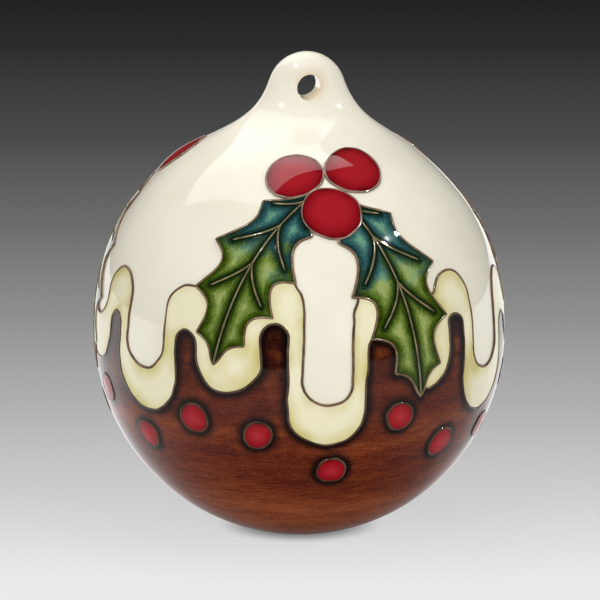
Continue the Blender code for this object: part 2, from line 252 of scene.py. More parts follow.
FLARE = flare_knots()
body = turned("glazed_body", body_outline(), BODY_COLUMNS)
bpy.ops.object.mode_set(mode="EDIT")
bpy.ops.mesh.select_mode(type="VERT")
for _, height in body_outline():
    if height - CENTRE_HEIGHT > LEAN_FROM:
        bpy.ops.mesh.select_all(action="DESELECT")
        bpy.ops.object.mode_set(mode="OBJECT")
        for vertex in body.data.vertices:
            vertex.select = abs(vertex.co.z - height) < 0.000002
        bpy.ops.object.mode_set(mode="EDIT")
        above = height - CENTRE_HEIGHT
        bpy.ops.transform.resize(value=(1, depth_share(above), 1), center_override=(0, 0, height))
        bpy.ops.transform.translate(value=(LEAN * eased(above, LEAN_FROM, LEAN_TO), 0, 0))
bpy.ops.object.mode_set(mode="OBJECT")
apply_modifier(body, "SUBSURF", levels=2, render_levels=2)

rim = HOLE_RIM / HOLE_HALF_WIDTH
rim_steps = [math.pi / 2 * n / 8 for n in range(9)]
mouth = [(1 + rim * (1 - math.cos(a)), THROAT_HALF_LENGTH + HOLE_RIM * math.sin(a)) for a in rim_steps]
half = [(0, LOOP_HALF_DEPTH * 2), (1 + rim, LOOP_HALF_DEPTH * 2), *reversed(mouth)]
cutter = turned("hole_cutter", half + [(radius, -height) for radius, height in reversed(half)], 64)
cutter.scale = (HOLE_HALF_WIDTH, HOLE_HALF_HEIGHT, 1)
cutter.rotation_euler = (math.pi / 2, HOLE_TILT, 0)
cutter.location = (LEAN, 0, CENTRE_HEIGHT + HOLE_HEIGHT)
bpy.ops.object.transform_apply()
for vertex in cutter.data.vertices:
    x, y, height = vertex.co
    if abs(y) > THROAT_HALF_LENGTH / 2:
        face = body.ray_cast((x, -LOOP_HALF_DEPTH * 3, height), (0, 1, 0))[1]
        vertex.co.y = math.copysign(abs(y) - THROAT_HALF_LENGTH - HOLE_RIM + RIM_SUNK - face.y, y)
apply_modifier(body, "BOOLEAN", operation="DIFFERENCE", object=cutter)
bpy.data.objects.remove(cutter)
smooth(body)

# Ivory glaze on white earthenware: the eye gets a warm, creamy white with a wet shine, a little yellower
# in slow drifts where the glaze is thicker, and a faint tan tint in a ring round the pierced hole.
ivory, tree, shader, place = under_clear_glaze("ivory_glaze_on_earthenware")
drift = add(tree, "TexNoise", {"Vector": place, "Scale": 60, "Detail": 3})
tone = add(tree, "ValToRGB", {0: drift.outputs["Fac"]}, stops=((0.3, srgb("#ede7d3")), (0.7, srgb("#f5f0e0"))))
centred = add(tree, "VectorMath", {0: place, 1: (-LEAN - 0.0005, 0, -CENTRE_HEIGHT - HOLE_HEIGHT - 0.0007)}, operation="ADD")
squashed = add(tree, "VectorMath", {0: centred.outputs[0], 1: (1 / 0.0031, 0, 1 / 0.0034)}, operation="MULTIPLY")
ring = add(tree, "VectorMath", {0: squashed.outputs[0]}, operation="LENGTH")
tan_ring = add(tree, "MapRange", {0: ring.outputs["Value"], 1: 0.8, 2: 1.25, 3: 0.26, 4: 0.0})
tinted = add(tree, "Mix", {0: tan_ring.outputs[0], 6: tone.outputs[0], 7: srgb("#dcb98c")}, data_type="RGBA")
tree.links.new(tinted.outputs[2], shader.inputs["Base Color"])
body.data.materials.append(ivory)
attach(body, "root")
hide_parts("pudding_bauble")

# ---- The raised slip lines -------------------------------------------------------------------------
# The design is drawn by hand with a bag of liquid slip: thin lines that stand up from the ball and keep
# the glazes apart. They run round the two layers of sauce, the holly leaves with their veins, the berries
# and the currants. The slip fires to a taupe brown, and the clear glaze covers it too.
LINE_SPACING = 0.00035  # between the points of a line
SAUCE_LINE, LEAF_LINE, VEIN_LINE, RING_LINE = 0.00057, 0.00052, 0.00039, 0.00054  # widths
WANDER, WOBBLE = 0.00070, 0.00022  # how far the hand strays, slowly and quickly
MERGE = 0.0010  # a sauce line this close to a leaf runs into it
SHORTEST_BAY = 0.0100  # between two merged stretches, a shorter one is merged too
SHORTEST_LINE = 0.0025
TAPER = 0.0008  # the length over which a vein's end thins out
DRIPS = (  # width, gap before the next, the drip's low end and the top of the gap
    (0.0100, 0.0115, -0.0075, 0.0155),
    (0.0085, 0.0105, 0.0030, 0.0175),
    (0.0110, 0.0110, -0.0040, 0.0145),
    (0.0090, 0.0120, 0.0060, 0.0190),
    (0.0105, 0.0105, -0.0060, 0.0160),
    (0.0080, 0.0110, 0.0010, 0.0175),
    (0.0100, 0.0115, 0.0050, 0.0185),
    (0.0110, 0.0110, -0.0070, 0.0150),
    (0.0085, 0.0105, 0.0020, 0.0170),
    (0.0105, 0.0120, -0.0045, 0.0180),
    (0.0090, 0.0105, 0.0055, 0.0165),
    (0.0110, 0.0110, -0.0020, 0.0155),
    (0.0085, 0.0115, 0.0035, 0.0180),
)
CREAM_MARGIN = 0.0030
CREAM_DROP = 0.0088
ARC_STEPS = 32
SPRIG_COUNT = 3
SPRIG_AZIMUTH = math.radians(3)
SPRIG_LATITUDE = math.radians(51)
LEAVES = (  # bearing from straight down, length, half width, bend
    (math.radians(-54), 0.0400, 0.0100, math.radians(26)),
    (math.radians(37), 0.0440, 0.0108, math.radians(-22)),
)
LEAF_START = 0.0035
SPINES = 4
SPINE_START, SPINE_SPREAD = 0.55, 0.35
LEAF_SKEW, LEAF_FULLNESS = 0.85, 0.7
SPINE_LEAN = 0.30
SCOOP = 0.36
LEAF_STEPS = 16
VEIN_SPINES = (0, 1, 2)  # the spines that a side vein runs towards
VEIN_SETBACK = 0.13  # a side vein leaves the midrib this much of the leaf's length before its spine
VEIN_REACH = 0.66
BERRY_RADIUS = 0.0055
BERRY_SPOTS = ((-0.0056, 0.0032), (0.0057, 0.0042), (0.0004, -0.0062))
CURRANT_RADIUS = 0.0030
CURRANTS = (
    (2, -31), (21, -15), (40, -25), (63, -24), (81, -12), (97, -22), (119, -30), (139, -18), (157, -11),
    (173, -24), (197, -32), (212, -19), (230, -16), (247, -27), (263, -20), (281, -13), (301, -23),
    (321, -15), (340, -19)
)
noise.seed_set(5)  # or the hand would stray another way in every run


def offsets_from(middle, spots):
    """How far right and up each spot lies from a middle, over the ball. Spots round the back are far off."""
    east, north = tangents(middle)
    spots = np.array(spots)
    along = np.clip(spots @ np.array(middle), -1, 1)
    flat = np.stack((spots @ np.array(east), spots @ np.array(north)), axis=1)
    length = np.maximum(np.linalg.norm(flat, axis=1), 1e-12)
    return flat * (BALL_RADIUS * np.arccos(along) / length)[:, None]


def inside(points, outline):
    """Which flat points lie inside a closed outline."""
    crossings = np.zeros(len(points), int)
    for (x1, y1), (x2, y2) in zip(outline, np.roll(outline, -1, axis=0)):
        if y1 != y2:
            spans = (y1 > points[:, 1]) != (y2 > points[:, 1])
            crossings += spans & (points[:, 0] < x1 + (points[:, 1] - y1) * (x2 - x1) / (y2 - y1))
    return crossings % 2 == 1


def evenly_spaced(spots, closed):
    """A line's spots again, at the line's own spacing."""
    if closed:
        spots = spots + spots[:1]
    steps = [(end - start).length * BALL_RADIUS for start, end in zip(spots, spots[1:])]
    count = max(round(sum(steps) / LINE_SPACING), 4)
    spaced = []
    walked, leg = 0.0, 0
    for number in range(count if closed else count + 1):
        goal = sum(steps) * number / count
        while leg < len(steps) - 1 and walked + steps[leg] < goal:
            walked += steps[leg]
            leg += 1
        part = (goal - walked) / steps[leg] if steps[leg] else 0
        spaced.append(spots[leg].lerp(spots[leg + 1], min(part, 1)).normalized())
    return spaced


def hand_drawn(spots):
    """Spots strayed sideways by a slow wander."""
    strayed = []
    for spot in spots:
        stray = noise.noise_vector(spot * 4.2) * WANDER + noise.noise_vector(spot * 14) * WOBBLE
        strayed.append(spot_beside(spot, stray.x, stray.y))
    return strayed


def drip_edge(margin, drop):
    """The lower edge of a layer of sauce: drips with round ends, and round arches between them."""
    around = sum(width + gap for width, gap, _, _ in DRIPS)
    edge = []
    start = -DRIPS[0][0] / 2
    for width, gap, low, top in DRIPS:
        for middle, radius, height, turn in (
            (start + width / 2, width / 2 + margin, low - drop + width / 2 + margin, -1),
            (start + width + gap / 2, gap / 2 - margin, top - drop - gap / 2 + margin, 1),
        ):
            for step in range(ARC_STEPS + 1):
                angle = math.pi * step / ARC_STEPS
                along = middle - radius * math.cos(angle)
                up = height + turn * radius * math.sin(angle)
                edge.append(direction(math.tau * along / around, up / BALL_RADIUS))
        start += width + gap
    return hand_drawn(evenly_spaced(edge, True))


def spine_places():
    """Where a leaf's base, its spines and its tip stand along it."""
    return [0, *((n + SPINE_START) / (SPINES + SPINE_SPREAD) for n in range(SPINES)), 1]


def leaf_half_width(share):
    """A leaf's half width, as a share of its largest, along its length: spines, and scoops between them."""
    places = spine_places()
    widths = [0, *(math.sin(math.pi * place**LEAF_SKEW) ** LEAF_FULLNESS for place in places[1:-1]), 0]
    section = min(sum(share >= place for place in places), len(places) - 1)
    low, high = places[section - 1], places[section]
    part = (share - low) / (high - low)
    straight = widths[section - 1] * (1 - part) + widths[section] * part
    return straight * (1 - SCOOP * math.sin(math.pi * part))


def leaf_shares():
    """Places along a leaf from base to tip, with a spine at every so many of them."""
    places = spine_places()
    shares = []
    for low, high in zip(places, places[1:]):
        shares += [low + (high - low) * step / LEAF_STEPS for step in range(LEAF_STEPS)]
    return shares + [1]


def leaf_spot(middle, leaf, share, across):
    """The spot of a point of a leaf: its place along, and across from -1 to 1."""
    bearing, length, half_width, bend = leaf
    out = across * half_width * leaf_half_width(share)
    along = length * share + SPINE_LEAN * abs(out)
    turned_by = bend * along / length
    radius = length / bend
    forward = (radius - out) * math.sin(turned_by)
    sideways = radius * (1 - math.cos(turned_by)) + out * math.cos(turned_by)
    right = (LEAF_START + forward) * math.sin(bearing) + sideways * math.cos(bearing)
    up = -(LEAF_START + forward) * math.cos(bearing) + sideways * math.sin(bearing)
    return spot_beside(middle, right, up)


def side_vein(middle, leaf, place, side):
    """A vein from the midrib towards a spine, curving forwards."""
    start = max(place - VEIN_SETBACK, 0.04)
    return [
        leaf_spot(middle, leaf, start + (place - start) * (n / 12) ** 0.8, side * VEIN_REACH * n / 12)
        for n in range(13)
    ]


def round_ring(middle, radius):
    """A ring of spots round a middle."""
    angles = [math.tau * n / 48 for n in range(48)]
    return [spot_beside(middle, radius * math.cos(a), radius * math.sin(a)) for a in angles]


def finder(lines):
    """A search tree over the points of lines."""
    points = [on_body(spot) for spots, _ in lines for spot in spots]
    tree = kdtree.KDTree(len(points))
    for number, point in enumerate(points):
        tree.insert(point, number)
    tree.balance()
    return tree


def merged(line, outlines):
    """A line whose spots close to any of the outlines are moved onto it."""
    others = [spot for outline, _ in outlines for spot in outline]
    near = finder(outlines)
    found = [near.find(on_body(spot)) for spot in line]
    close = [distance < MERGE for _, _, distance in found]
    bay = round(SHORTEST_BAY / LINE_SPACING)
    for number, is_close in enumerate(close[:]):
        following = [(number + step) % len(line) for step in range(1, bay)]
        back = next((step for step, other in enumerate(following) if close[other]), None)
        if is_close and back is not None:
            for other in following[:back]:
                close[other] = True
    return [others[place] if joins else spot for spot, (_, place, _), joins in zip(line, found, close)]


def uncovered(line, closed, covers, outlines=()):
    """The stretches of a line that no cover hides: lists of spots, and whether each one closes."""
    taken = {tuple(spot) for outline, _ in outlines for spot in outline}
    shown = np.array([tuple(spot) not in taken for spot in line])
    for middle, outline in covers:
        flat = offsets_from(middle, [middle, *outline])[1:]
        shown &= ~(inside(offsets_from(middle, line), flat) & (np.array(line) @ np.array(middle) > 0))
    if shown.all():
        return [(line, closed)]
    if closed and shown[0]:
        first = int(np.argmin(shown))
        line, shown = line[first:] + line[:first], np.roll(shown, -first)
    runs, current = [], []
    for before, spot, seen in zip(line[-1:] + line, line, shown):
        if seen:
            current = current or [before]
            current.append(spot)
        elif current:
            runs.append(current + [spot])
            current = []
    if current:
        runs.append(current + line[:1] if closed else current)
    return [(run, False) for run in runs if len(run) * LINE_SPACING > SHORTEST_LINE]


def slip_tubes(name, runs, width, lift, tapered):
    """Lines of slip along runs of spots: half-round ridges, thicker and thinner as the bag was squeezed.

    Their middles lie that far above the ball. A tapered line thins out at its ends."""
    curve = bpy.data.curves.new(name, "CURVE")
    curve.dimensions = "3D"
    curve.bevel_depth = width / 2
    curve.bevel_resolution = 2
    curve.use_fill_caps = True
    for spots, closed in runs:
        spline = curve.splines.new("POLY")
        spline.points.add(len(spots) - 1)
        spline.use_cyclic_u = closed
        for number, (knot, spot) in enumerate(zip(spline.points, spots)):
            knot.co = (*lifted(spot, lift), 1)
            knot.radius = 1 + 0.16 * noise.noise(spot * 9) + 0.10 * noise.noise(spot * 31)
            if tapered:
                from_end = min(number, len(spots) - 1 - number) * LINE_SPACING / TAPER
                knot.radius *= math.sqrt(min(from_end + 0.08, 1))
    thing = bpy.data.objects.new(name, curve)
    bpy.context.scene.collection.objects.link(thing)
    bpy.ops.object.select_all(action="DESELECT")
    thing.select_set(True)
    bpy.context.view_layer.objects.active = thing
    bpy.ops.object.convert(target="MESH")
    made = bpy.context.active_object
    bpy.ops.object.mode_set(mode="EDIT")
    bpy.ops.mesh.select_all(action="SELECT")
    bpy.ops.mesh.remove_doubles(threshold=0.000001)
    bpy.ops.mesh.normals_make_consistent(inside=False)
    bpy.ops.object.mode_set(mode="OBJECT")
    smooth(made, 60)
    return made


def fired_slip(name, dark, light):
    """Fired slip under clear glaze: a brown clay colour that drifts darker and paler along the line."""
    made, tree, shader, place = under_clear_glaze(name)
    shader.inputs["Roughness"].default_value = 0.14
    drift = add(tree, "TexNoise", {"Vector": place, "Scale": 420, "Detail": 4, "Roughness": 0.6})
    tone = add(tree, "ValToRGB", {0: drift.outputs["Fac"]}, stops=((0.34, srgb(dark)), (0.66, srgb(light))))
    tree.links.new(tone.outputs[0], shader.inputs["Base Color"])
    return made


sprigs = [
    direction(SPRIG_AZIMUTH + math.tau * n / SPRIG_COUNT, SPRIG_LATITUDE) for n in range(SPRIG_COUNT)
]
currants = [direction(math.radians(azimuth), math.radians(latitude)) for azimuth, latitude in CURRANTS]

leaf_covers, berry_covers = [], []
leaf_outlines, veins, berry_rings = [], [], []
for sprig in sprigs:
    for right, up in BERRY_SPOTS:
        spot = spot_beside(sprig, right, up)
        ring = hand_drawn(evenly_spaced(round_ring(spot, BERRY_RADIUS), True))
        berry_covers.append((spot, ring))
        berry_rings.append((ring, True))
    for leaf in LEAVES:
        shares = leaf_shares()
        outline = [leaf_spot(sprig, leaf, share, 1) for share in shares]
        outline += [leaf_spot(sprig, leaf, share, -1) for share in reversed(shares[1:-1])]
        leaf_covers.append((sprig, outline))
        leaf_outlines.append((evenly_spaced(outline, True), True))
        veins.append((evenly_spaced([leaf_spot(sprig, leaf, share, 0) for share in shares], False), False))
        for number in VEIN_SPINES:
            for side in (-1, 1):
                vein = side_vein(sprig, leaf, spine_places()[number + 1], side)
                veins.append((evenly_spaced(vein, False), False))
currant_rings = [
    (hand_drawn(evenly_spaced(round_ring(spot, CURRANT_RADIUS), True)), True) for spot in currants
]

white_edge = merged(drip_edge(0, 0), leaf_outlines)
cream_edge = merged(drip_edge(CREAM_MARGIN, CREAM_DROP), leaf_outlines)
white_runs = uncovered(white_edge, True, leaf_covers, leaf_outlines)
cream_runs = uncovered(cream_edge, True, leaf_covers, leaf_outlines)
leaf_runs = [run for line in leaf_outlines for run in uncovered(*line, berry_covers)]
vein_runs = [run for line in veins for run in uncovered(*line, berry_covers)]

# Slip on the white ground fires to a warm taupe. In the greens it shows paler and tan. Along the pudding
# and round the currants it is darker and greyer, as the brown glaze stains it.
for name, runs, width, lift, dark, light in (
    ("white_sauce_lines", white_runs, SAUCE_LINE, 0.00004, "#543b2d", "#80644e"),
    ("cream_sauce_lines", cream_runs, SAUCE_LINE, 0.00004, "#3a2a20", "#685040"),
    ("leaf_lines", leaf_runs, LEAF_LINE, 0.00012, "#5c4634", "#8e775b"),
    ("leaf_veins", vein_runs, VEIN_LINE, 0.00022, "#5f5236", "#92835f"),
    ("berry_rings", berry_rings, RING_LINE, 0.00012, "#70554a", "#a58a7a"),
    ("currant_rings", currant_rings, RING_LINE, 0.00010, "#33261d", "#604a3a"),
):
    line = slip_tubes(name, runs, width, lift, name == "leaf_veins")
    line.data.materials.append(fired_slip("fired_slip_" + name, dark, light))
    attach(line, "root")

# ---- The brown glaze -------------------------------------------------------------------------------
# The pudding itself: a transparent red-brown glaze, brushed on level rings as the ball turned on a wheel,
# from the sauce down to the wiped foot. It pools nearly black against the raised lines. The coat is laid
# out flat round the foot, cut into an even net of small triangles, and wrapped on the ball.
BROWN_NET, CREAM_NET = 0.00060, 0.00042  # size of the net's triangles
COAT_LIFT = 0.00011
COAT_THICKNESS = 0.00030
MENISCUS = 0.00009  # how far the glaze climbs the lines
MENISCUS_REACH = 0.00055
COAT_FOOT = 0.0097  # the glaze is wiped off inside this radius


def climbed(spot, lift, near):
    """A point of a coat's surface: it climbs a little towards the nearest line."""
    distance = near.find(on_body(spot))[2]
    return lifted(spot, lift + MENISCUS * math.exp(-distance / MENISCUS_REACH))


def flat_from_foot(spots):
    """Spots laid out flat round the foot: true distances from it, and true bearings."""
    spots = np.array(spots)
    angle = np.arccos(np.clip(-spots[:, 2], -1, 1))
    length = np.maximum(np.hypot(spots[:, 0], spots[:, 1]), 1e-12)
    return spots[:, :2] * (angle / length)[:, None]


def coat(name, upper, lower, net, near):
    """A coat of glaze between two closed lines round the ball."""
    seeds = []
    rows = round(math.pi * BALL_RADIUS / net)
    for row in range(1, rows):
        latitude = math.pi * (row / rows - 0.5)
        around = max(round(math.tau * BALL_RADIUS * math.cos(latitude) / net), 3)
        seeds += [direction(math.tau * (n + row % 2 / 2) / around, latitude) for n in range(around)]
    flat_upper, flat_lower = flat_from_foot(upper), flat_from_foot(lower)
    flat = flat_from_foot(seeds)
    reach = np.linalg.norm(flat, axis=1)
    wanted = (reach < np.linalg.norm(flat_upper, axis=1).max()) & (
        reach > np.linalg.norm(flat_lower, axis=1).min()
    )
    seeds = [spot for spot, keep in zip(seeds, wanted) if keep]
    flat = flat[wanted]
    wanted = inside(flat, flat_upper) & ~inside(flat, flat_lower)
    borders = finder([(upper, True), (lower, True)])
    seeds = [
        spot for spot, keep in zip(seeds, wanted) if keep and borders.find(on_body(spot))[2] > net * 0.55
    ]
    spots = upper + lower + seeds
    flat = flat_from_foot(spots)
    edges = [(n, (n + 1) % len(upper)) for n in range(len(upper))]
    edges += [(len(upper) + n, len(upper) + (n + 1) % len(lower)) for n in range(len(lower))]
    places, _, faces, origins, _, _ = geometry.delaunay_2d_cdt(
        [Vector(pair) for pair in flat], edges, [], 0, 1e-9
    )
    middles = np.array([sum((places[n] for n in face), Vector((0, 0))) / 3 for face in faces])
    kept = inside(middles, flat_upper) & ~inside(middles, flat_lower)
    points = [climbed(spots[origin[0]], COAT_LIFT, near) for origin in origins]
    mesh = bpy.data.meshes.new(name)
    mesh.from_pydata(points, [], [tuple(reversed(face)) for face, keep in zip(faces, kept) if keep])
    made = bpy.data.objects.new(name, mesh)
    bpy.context.scene.collection.objects.link(made)
    first = mesh.polygons[0]
    if first.normal.dot(first.center - Vector((0, 0, CENTRE_HEIGHT))) < 0:
        mesh.flip_normals()
    apply_modifier(made, "SOLIDIFY", thickness=COAT_THICKNESS, offset=-1)
    return made


def note_pool(thing, near, name="pool"):
    """Writes on each point how far the nearest line is, in millimetres: glaze pools where it is small."""
    pool = thing.data.attributes.new(name, "FLOAT", "POINT")
    pool.data.foreach_set("value", [near.find(vertex.co)[2] * 1000 for vertex in thing.data.vertices])


near_brown = finder([(cream_edge, True)] + leaf_outlines + currant_rings)
foot_ring = evenly_spaced(
    [direction(math.tau * n / 90, -math.acos(COAT_FOOT / BALL_RADIUS)) for n in range(90)], True
)
brown = coat("brown_glaze", cream_edge, foot_ring, BROWN_NET, near_brown)
note_pool(brown, near_brown)
smooth(brown)

# Iron-brown glaze, brushed while turning: fine level streaks a third of a millimetre wide and under a
# centimetre long, over broad rings of thicker and thinner glaze and a sandy grain. It is near-black where
# it lies thick under the sauce, with foxy glints in the pools, and a pale red-brown towards the foot.
RINGS = (  # latitude in degrees, and how thin the glaze is there
    (-69, 0.10), (-50, 0.09), (-40, 0.03), (-29, -0.02), (-19, 0.03), (-12, -0.03), (-4, -0.04), (3, -0.13),
    (12, -0.20),
)
STREAKS = (  # length, width and share of each set of streaks
    (0.0300, 0.0040, 0.24),
    (0.0090, 0.0013, 0.14),
    (0.0042, 0.00030, 0.20),
)
GRAIN, GRAIN_SHARE = 0.00026, 0.34
brown_material, tree, shader, place = under_clear_glaze("brushed_iron_brown_glaze")
centred = add(tree, "VectorMath", {0: place, 1: (0, 0, -CENTRE_HEIGHT)}, operation="ADD")
level = add(tree, "VectorMath", {0: centred.outputs[0], 1: (1, 1, 0)}, operation="MULTIPLY")
bearing = add(tree, "VectorMath", {0: level.outputs[0]}, operation="NORMALIZE")
radius = add(tree, "VectorMath", {0: level.outputs[0]}, operation="LENGTH")
height = add(tree, "SeparateXYZ", {0: centred.outputs[0]})
latitude = add(tree, "Math", {0: height.outputs[2], 1: radius.outputs["Value"]}, operation="ARCTAN2")
grain = add(tree, "TexNoise", {"Vector": place, "Scale": 1 / GRAIN, "Detail": 2})
south, north = math.radians(RINGS[0][0]), math.radians(RINGS[-1][0])
share = add(tree, "MapRange", {0: latitude.outputs[0], 1: south, 2: north, 3: 0.0, 4: 1.0})
knots = [((math.radians(ring) - south) / (north - south), (thin + 0.3,) * 3 + (1,)) for ring, thin in RINGS]
rings = add(tree, "ValToRGB", {0: share.outputs[0]}, stops=[knots[0], knots[-1], *knots[1:-1]])
layers = add(tree, "Math", {0: rings.outputs[0], 1: -0.26}, operation="ADD")
layers = add(tree, "Math", {0: grain.outputs["Fac"], 1: GRAIN_SHARE, 2: layers.outputs[0]}, operation="MULTIPLY_ADD")
for length, width, share in STREAKS:
    around = add(tree, "VectorMath", {0: bearing.outputs[0], 3: BALL_RADIUS / length}, operation="SCALE")
    rows = add(tree, "Math", {0: latitude.outputs[0], 1: BALL_RADIUS / width}, operation="MULTIPLY")
    upward = add(tree, "CombineXYZ", {2: rows.outputs[0]})
    both = add(tree, "VectorMath", {0: around.outputs[0], 1: upward.outputs[0]}, operation="ADD")
    streak = add(tree, "TexNoise", {"Vector": both.outputs[0], "Scale": 1.0, "Detail": 2})
    layers = add(tree, "Math", {0: streak.outputs["Fac"], 1: share, 2: layers.outputs[0]}, operation="MULTIPLY_ADD")
brush = add(
    tree, "ValToRGB", {0: layers.outputs[0]},
    stops=(
        (0.25, srgb("#170603")), (0.64, srgb("#8f4a2a")), (0.34, srgb("#32100a")), (0.42, srgb("#48180e")),
        (0.49, srgb("#5e2313")), (0.56, srgb("#763619")),
    ),
)
blotch = add(tree, "TexNoise", {"Vector": place, "Scale": 230, "Detail": 5, "Roughness": 0.65})
foxy = add(tree, "MapRange", {0: blotch.outputs["Fac"], 1: 0.48, 2: 0.68, 3: 0.0, 4: 0.55})
under_sauce = add(tree, "MapRange", {0: latitude.outputs[0], 1: -0.20, 2: 0.05, 3: 0.15, 4: 1.0})
foxy = add(tree, "Math", {0: foxy.outputs[0], 1: under_sauce.outputs[0]}, operation="MULTIPLY")
brush = add(tree, "Mix", {0: foxy.outputs[0], 6: brush.outputs[0], 7: srgb("#8a4a20")}, data_type="RGBA")
# Pale specks: pinholes in the glaze, with the highlights they catch painted in as pale pink colour.
pinhole_highlight = add(tree, "TexVoronoi", {"Vector": place, "Scale": 190})
pinhole_highlight = add(tree, "MapRange", {0: pinhole_highlight.outputs["Distance"], 1: 0.018, 2: 0.032, 3: 0.6, 4: 0.0})
brush = add(tree, "Mix", {0: pinhole_highlight.outputs[0], 6: brush.outputs[2], 7: srgb("#b88a78")}, data_type="RGBA")
pool = add(tree, "Attribute", attribute_name="pool")
ragged = add(tree, "TexNoise", {"Vector": place, "Scale": 500, "Detail": 3})
spread = add(tree, "Math", {0: ragged.outputs["Fac"], 1: -1.1, 2: pool.outputs["Fac"]}, operation="MULTIPLY_ADD")
deep = add(tree, "MapRange", {0: spread.outputs[0], 1: -0.1, 2: 1.9, 3: 0.97, 4: 0.0}, interpolation_type="SMOOTHSTEP")
pooled = add(tree, "Mix", {0: deep.outputs[0], 6: brush.outputs[2], 7: srgb("#0d0503")}, data_type="RGBA")
tree.links.new(pooled.outputs[2], shader.inputs["Base Color"])
brown.data.materials.append(brown_material)
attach(brown, "root")

# ---- The cream glaze -------------------------------------------------------------------------------
# The lower layer of sauce: a band of pale yellow glaze between the white drips and the pudding, wrapped
# on the ball as the brown is. It is thin and nearly white in the open, and yellower against the lines.
near_cream = finder([(white_edge, True), (cream_edge, True)] + leaf_outlines)
cream = coat("cream_glaze", white_edge, cream_edge, CREAM_NET, near_cream)
note_pool(cream, near_cream)
smooth(cream)

# Pale yellow glaze: soft custard drifts some 10 mm across, a little deeper yellow against the lines.
cream_material, tree, shader, place = under_clear_glaze("pale_yellow_glaze")
drift = add(tree, "TexNoise", {"Vector": place, "Scale": 95, "Detail": 2})
pool = add(tree, "Attribute", attribute_name="pool")
thick = add(tree, "Math", {0: pool.outputs["Fac"], 1: 0.5, 2: -1.1}, operation="MULTIPLY_ADD")
thick = add(tree, "Math", {0: drift.outputs["Fac"], 1: 5.2, 2: thick.outputs[0]}, operation="MULTIPLY_ADD")
tone = add(
    tree, "ValToRGB", {0: add(tree, "Math", {0: thick.outputs[0], 1: 0.33}, operation="MULTIPLY").outputs[0]},
    stops=((0.30, srgb("#cfc37c")), (0.95, srgb("#efe9c8")), (0.55, srgb("#dfd6a2"))),
)
tree.links.new(tone.outputs[0], shader.inputs["Base Color"])
cream.data.materials.append(cream_material)
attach(cream, "root")

# ---- The holly leaves ------------------------------------------------------------------------------
# Three pairs of spiny leaves, each a cell of slip that is flooded with green glazes: teal at the base, and
# yellow-green to the tip, brushed wet so that they run together. A leaf starts as a flat grid, is shaped
# along its midrib, and is wrapped on the ball. The glaze darkens against the margin and the veins.
LEAF_LIFT = 0.00022
LEAF_ACROSS = 30
near_leaf = finder(leaf_outlines + veins)
leaves = []
for sprig in sprigs:
    for leaf in LEAVES:
        bpy.ops.object.select_all(action="DESELECT")
        columns = LEAF_STEPS * (SPINES + 1)
        bpy.ops.mesh.primitive_grid_add(x_subdivisions=columns, y_subdivisions=LEAF_ACROSS, size=2)
        blade = bpy.context.active_object
        shares = leaf_shares()
        for vertex in blade.data.vertices:
            share = shares[round((vertex.co.x + 1) / 2 * columns)]
            vertex.co = climbed(leaf_spot(sprig, leaf, share, vertex.co.y), LEAF_LIFT, near_leaf)
        bpy.ops.object.mode_set(mode="EDIT")
        bpy.ops.mesh.select_all(action="SELECT")
        bpy.ops.mesh.remove_doubles(threshold=0.00001)
        bpy.ops.object.mode_set(mode="OBJECT")
        first = blade.data.polygons[len(blade.data.polygons) // 2]
        if first.normal.dot(first.center - Vector((0, 0, CENTRE_HEIGHT))) < 0:
            blade.data.flip_normals()
        apply_modifier(blade, "SOLIDIFY", thickness=COAT_THICKNESS, offset=-1)
        leaves.append(blade)


def joined(name, parts):
    """Copies of one thing as a single piece."""
    bpy.ops.object.select_all(action="DESELECT")
    for part in parts:
        part.select_set(True)
    bpy.context.view_layer.objects.active = parts[0]
    bpy.ops.object.join()
    parts[0].name = parts[0].data.name = name
    return parts[0]


holly = joined("holly_leaves", leaves)
note_pool(holly, near_leaf)
note_pool(holly, finder(veins), "rib")
smooth(holly)

# Copper and cobalt greens: the eye gets cloudy light patches in the middle of each cell, mottled at half
# a millimetre, and dark bottle green or inky teal where the glaze lies deep along the slip.
leaf_material, tree, shader, place = under_clear_glaze("copper_green_glaze")
pool = add(tree, "Attribute", attribute_name="pool")
cloud = add(tree, "TexNoise", {"Vector": place, "Scale": 330, "Detail": 3, "Roughness": 0.55})
laid_flat = add(tree, "UVMap", uv_map="UVMap")
stretched = add(tree, "VectorMath", {0: laid_flat.outputs[0], 1: (16, 90, 0)}, operation="MULTIPLY")
mottle = add(tree, "TexNoise", {"Vector": stretched.outputs[0], "Scale": 1.0, "Detail": 4, "Roughness": 0.6})
cloudy = add(tree, "Math", {0: cloud.outputs["Fac"], 1: 1.8, 2: pool.outputs["Fac"]}, operation="MULTIPLY_ADD")
depth = add(tree, "Math", {0: mottle.outputs["Fac"], 1: 2.4, 2: cloudy.outputs[0]}, operation="MULTIPLY_ADD")
sandy = add(tree, "TexNoise", {"Vector": place, "Scale": 2400, "Detail": 2})
depth = add(tree, "Math", {0: sandy.outputs["Fac"], 1: 1.3, 2: depth.outputs[0]}, operation="MULTIPLY_ADD")
thin = add(tree, "MapRange", {0: depth.outputs[0], 1: 3.0, 2: 5.4, 3: 0.0, 4: 1.0})
green = add(
    tree, "ValToRGB", {0: thin.outputs[0]},
    stops=((0.0, srgb("#1c2a02")), (1.0, srgb("#97a460")), (0.3, srgb("#3a4e08")), (0.65, srgb("#677d32"))),
)
teal = add(
    tree, "ValToRGB", {0: thin.outputs[0]},
    stops=((0.0, srgb("#132623")), (1.0, srgb("#6c9c80")), (0.35, srgb("#21464a")), (0.7, srgb("#3a6a66"))),
)
along = add(tree, "SeparateXYZ", {0: laid_flat.outputs[0]})
run = add(tree, "TexNoise", {"Vector": place, "Scale": 260, "Detail": 2})
front = add(tree, "Math", {0: run.outputs["Fac"], 1: 0.5, 2: along.outputs[0]}, operation="MULTIPLY_ADD")
blend = add(tree, "MapRange", {0: front.outputs[0], 1: 0.54, 2: 0.76, 3: 0.0, 4: 1.0}, interpolation_type="SMOOTHSTEP")
